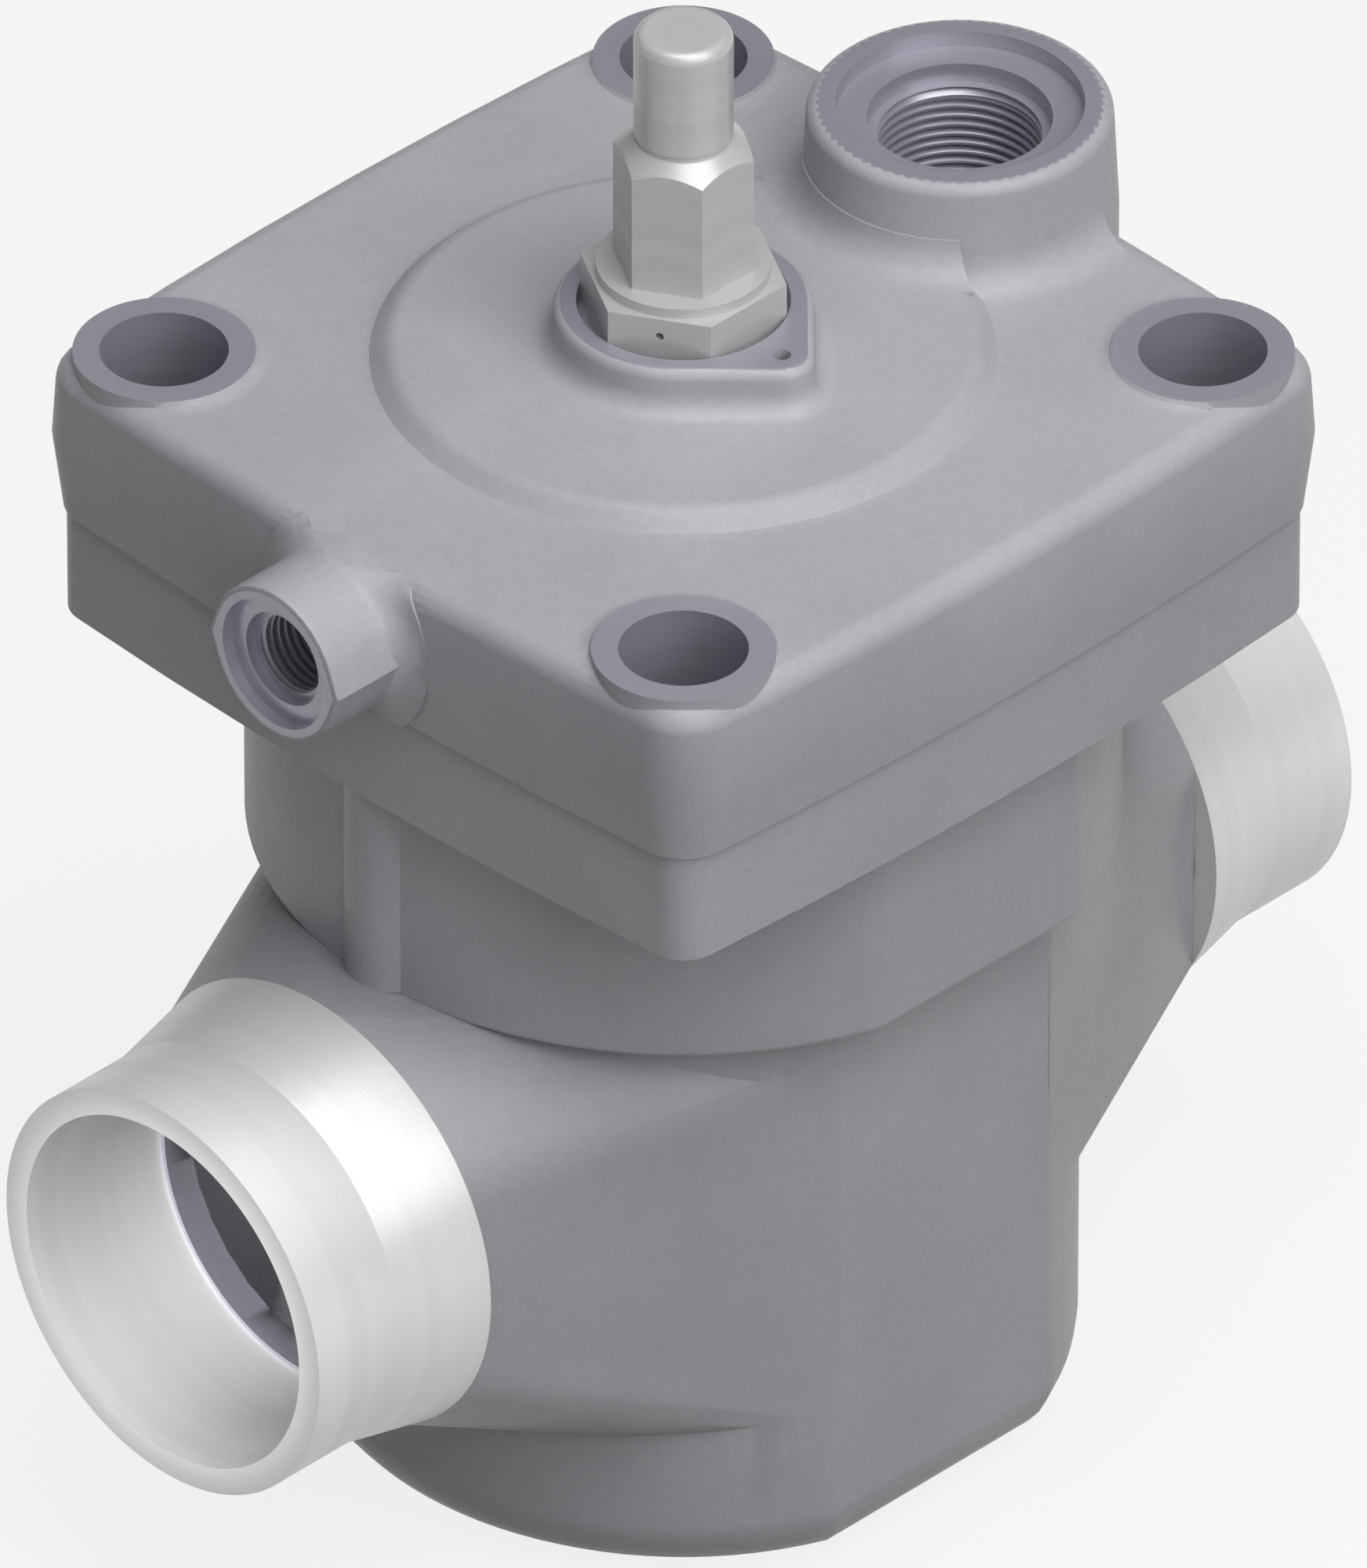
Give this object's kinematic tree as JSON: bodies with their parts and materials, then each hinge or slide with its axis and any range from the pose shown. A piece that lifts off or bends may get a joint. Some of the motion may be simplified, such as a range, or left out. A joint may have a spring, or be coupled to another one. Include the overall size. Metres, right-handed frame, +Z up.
{
  "type": "pilot-operated servo valve",
  "caption": "Pilot-operated servo valve with butt-weld pipe ends, bolted square cover, pilot and gauge ports and a capped manual spindle over a spring-closed piston.",
  "frame": {"origin": "on the spindle axis at the flat bottom face of the body", "axes": "+Z up along the spindle axis, X along the pipe with the inlet at -X and the outlet at +X, the sealing-wire eye towards -Y"},
  "size_m": [0.1986, 0.1296, 0.2193],
  "materials": {
    "body_casting": "zinc-coated casting, matt",
    "cover_casting": "zinc-coated casting, matt, machined faces bright",
    "weld_stub": "fine-turned steel",
    "gasket": "compressed fibre",
    "module_steel": "turned steel",
    "seal_rubber": "matt",
    "bush_brass": "bored",
    "piston_steel": "turned and ground",
    "ring_ptfe": "bronze-filled plastic",
    "rod_steel": "ground",
    "nut_steel": "zinc-plated",
    "cone_steel": "turned",
    "disc_ptfe": "white plastic",
    "washer_steel": "plain",
    "spring_steel": "drawn wire",
    "gland_steel": "zinc-plated",
    "spindle_steel": "turned",
    "cap_washer_metal": "fine-turned",
    "cap_steel": "zinc-plated"
  },
  "bodies": {
    "valve": {"valve_body": "body_casting", "inlet_weld_stub": "weld_stub", "outlet_weld_stub": "weld_stub", "top_cover": "cover_casting", "cover_gasket": "gasket", "module_cylinder": "module_steel", "module_upper_o_ring": "seal_rubber", "module_lower_o_ring": "seal_rubber", "guide_bush": "bush_brass", "spring_washer": "washer_steel", "closing_spring": "spring_steel", "gland_nut": "gland_steel", "gland_o_ring": "seal_rubber"},
    "piston": {"servo_piston": "piston_steel", "piston_ring_upper": "ring_ptfe", "piston_ring_lower": "ring_ptfe", "piston_rod": "rod_steel", "piston_nut": "nut_steel", "throttle_cone": "cone_steel", "seat_disc": "disc_ptfe", "seat_retainer": "cone_steel", "cone_nut": "nut_steel"},
    "spindle_seal": {"spindle_o_ring": "seal_rubber"},
    "spindle": {"manual_spindle": "spindle_steel"},
    "washer": {"cap_washer": "cap_washer_metal"},
    "cap": {"spindle_cap": "cap_steel"}
  },
  "joints": [
    {"name": "piston_slide", "type": "slide", "parent": "valve", "child": "piston", "axis": [0, 0, -1], "range_m": [0, 0.012], "stiffness_N_per_m": 3000, "springref_m": -0.02, "deforming": ["closing_spring"]},
    {"name": "spindle_lift", "type": "slide", "parent": "valve", "child": "spindle_seal", "axis": [0, 0, -1], "range_m": [0, 0.006]},
    {"name": "spindle_turn", "type": "hinge", "parent": "spindle_seal", "child": "spindle", "pos_m": [0, 0, 0.17], "axis": [0, 0, -1], "range_deg": [0, 1440]},
    {"name": "cap_lift", "type": "slide", "parent": "valve", "child": "washer", "axis": [0, 0, 1], "range_m": [0, 0.009]},
    {"name": "cap_turn", "type": "hinge", "parent": "washer", "child": "cap", "pos_m": [0, 0, 0.19], "axis": [0, 0, 1], "range_deg": [0, 2160]}
  ],
  "couplings": [
    {"joint": "spindle_turn", "follows": "spindle_lift", "rad_per_m": 4188.8},
    {"joint": "cap_turn", "follows": "cap_lift", "rad_per_m": 4188.8}
  ]
}
